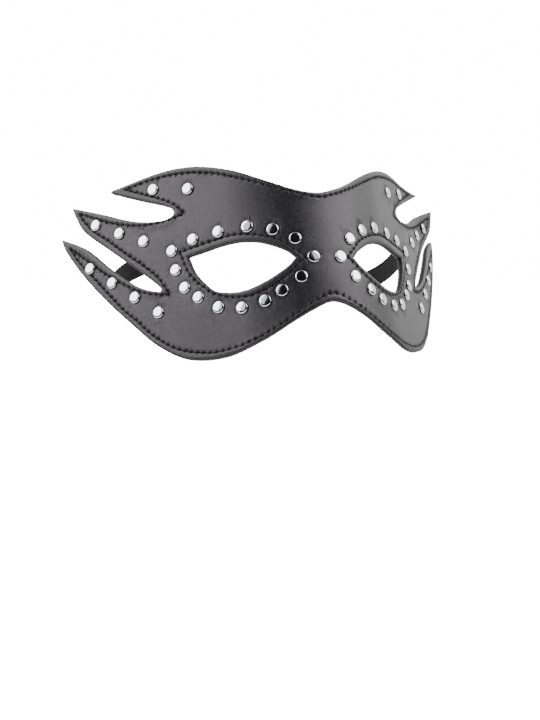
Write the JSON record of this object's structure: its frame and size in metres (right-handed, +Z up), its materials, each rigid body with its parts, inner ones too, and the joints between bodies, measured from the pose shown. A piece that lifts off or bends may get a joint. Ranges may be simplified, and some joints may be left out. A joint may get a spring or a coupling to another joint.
{
  "type": "studded half mask",
  "caption": "Black faux leather half mask for the eyes, with flame-shaped sides, chrome cap rivets, eye holes and an elastic head strap.",
  "frame": {"origin": "where the lining rests on the bridge of the wearer's nose, on the centre line and level with the corners of the eye holes", "axes": "+Z up, -Y the way the face looks, +X the wearer's left; the leather leans back 22.9 degrees at its top as worn"},
  "size_m": [0.2112, 0.2099, 0.0915],
  "materials": {
    "leather": "black satin faux leather with a fine grain",
    "lining": "matt black backing layer",
    "chrome": "polished chrome rivet caps",
    "elastic": "ribbed black elastic"
  },
  "bodies": {
    "root": {"mask_face": "leather", "mask_lining": "lining", "strap": "elastic", "stud_left_bottom_1": "chrome", "stud_left_bottom_2": "chrome", "stud_left_bottom_3": "chrome", "stud_left_bottom_4": "chrome", "stud_left_eye_01": "chrome", "stud_left_eye_02": "chrome", "stud_left_eye_03": "chrome", "stud_left_eye_04": "chrome", "stud_left_eye_05": "chrome", "stud_left_eye_06": "chrome", "stud_left_eye_07": "chrome", "stud_left_eye_08": "chrome", "stud_left_eye_09": "chrome", "stud_left_eye_10": "chrome", "stud_left_eye_11": "chrome", "stud_left_eye_12": "chrome", "stud_left_eye_13": "chrome", "stud_left_eye_14": "chrome", "stud_left_eye_15": "chrome", "stud_left_middle_1": "chrome", "stud_left_middle_2": "chrome", "stud_left_middle_3": "chrome", "stud_left_top_1": "chrome", "stud_left_top_2": "chrome", "stud_right_bottom_1": "chrome", "stud_right_bottom_2": "chrome", "stud_right_bottom_3": "chrome", "stud_right_bottom_4": "chrome", "stud_right_eye_01": "chrome", "stud_right_eye_02": "chrome", "stud_right_eye_03": "chrome", "stud_right_eye_04": "chrome", "stud_right_eye_05": "chrome", "stud_right_eye_06": "chrome", "stud_right_eye_07": "chrome", "stud_right_eye_08": "chrome", "stud_right_eye_09": "chrome", "stud_right_eye_10": "chrome", "stud_right_eye_11": "chrome", "stud_right_eye_12": "chrome", "stud_right_eye_13": "chrome", "stud_right_eye_14": "chrome", "stud_right_eye_15": "chrome", "stud_right_middle_1": "chrome", "stud_right_middle_2": "chrome", "stud_right_middle_3": "chrome", "stud_right_top_1": "chrome", "stud_right_top_2": "chrome"}
  },
  "joints": []
}
